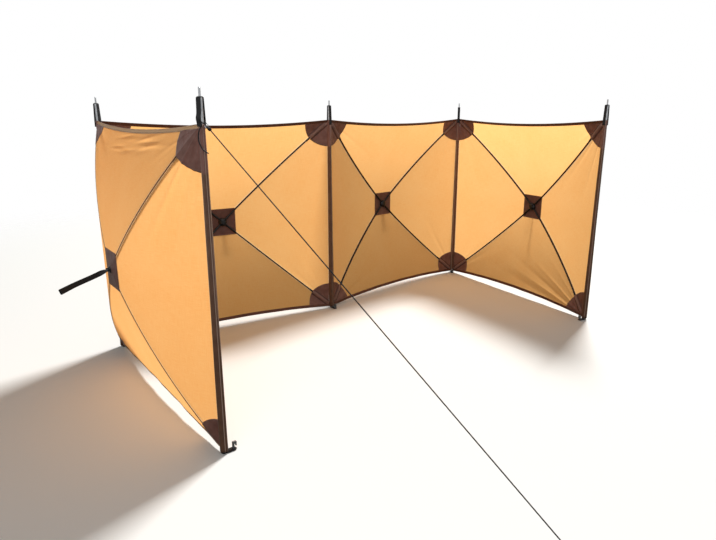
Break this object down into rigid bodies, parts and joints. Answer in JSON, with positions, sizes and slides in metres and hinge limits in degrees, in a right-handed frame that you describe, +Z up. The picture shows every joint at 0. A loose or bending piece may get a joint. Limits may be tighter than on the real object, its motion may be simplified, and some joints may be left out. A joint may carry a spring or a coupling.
{
  "type": "beach windbreak",
  "caption": "Free-standing beach windbreak of square sprung cloth bays set in an open C, each popped outwards by crossed poles and a hub, with a guy rope.",
  "frame": {"origin": "middle of the centre post's foot, on the ground", "axes": "+Z up, -Y towards the sheltered side, +X along the back towards the right corner post"},
  "size_m": [3.5957, 3.097, 1.546],
  "materials": {
    "orange_cloth": "plain woven",
    "brown_binding": "woven tape",
    "brown_patch_cloth": "plain woven",
    "brown_sleeve": "plain woven",
    "black_webbing": "woven webbing",
    "black_rope": "braided",
    "black_fibreglass": "pultruded, satin",
    "black_nylon": "moulded",
    "silver_steel": "zinc plated",
    "peg_wire": "galvanised"
  },
  "bodies": {
    "root": {"left_bay_cloth": "orange_cloth", "left_bay_binding": "brown_binding", "left_bay_patches": "brown_patch_cloth", "left_bay_poles": "black_fibreglass", "left_bay_hub": "black_nylon", "left_bay_pull_strap": "black_webbing", "back_left_bay_cloth": "orange_cloth", "back_left_bay_binding": "brown_binding", "back_left_bay_patches": "brown_patch_cloth", "back_left_bay_poles": "black_fibreglass", "back_left_bay_hub": "black_nylon", "back_left_bay_pull_strap": "black_webbing", "back_right_bay_cloth": "orange_cloth", "back_right_bay_binding": "brown_binding", "back_right_bay_patches": "brown_patch_cloth", "back_right_bay_poles": "black_fibreglass", "back_right_bay_hub": "black_nylon", "back_right_bay_pull_strap": "black_webbing", "right_bay_cloth": "orange_cloth", "right_bay_binding": "brown_binding", "right_bay_patches": "brown_patch_cloth", "right_bay_poles": "black_fibreglass", "right_bay_hub": "black_nylon", "right_bay_pull_strap": "black_webbing", "left_end_post": "silver_steel", "left_end_sleeve": "brown_sleeve", "left_end_top_strap": "black_webbing", "left_corner_post": "silver_steel", "left_corner_sleeve": "brown_sleeve", "left_corner_top_strap": "black_webbing", "centre_post": "silver_steel", "centre_sleeve": "brown_sleeve", "centre_top_strap": "black_webbing", "right_corner_post": "silver_steel", "right_corner_sleeve": "brown_sleeve", "right_corner_top_strap": "black_webbing", "right_end_post": "silver_steel", "right_end_sleeve": "brown_sleeve", "right_end_top_strap": "black_webbing", "top_eyelets": "black_nylon", "foot_tabs": "black_webbing", "foot_pegs": "peg_wire", "guy_ring": "silver_steel", "guy_rope": "black_rope", "guy_tail": "black_rope", "guy_slider": "black_nylon", "guy_peg": "peg_wire"}
  },
  "joints": []
}
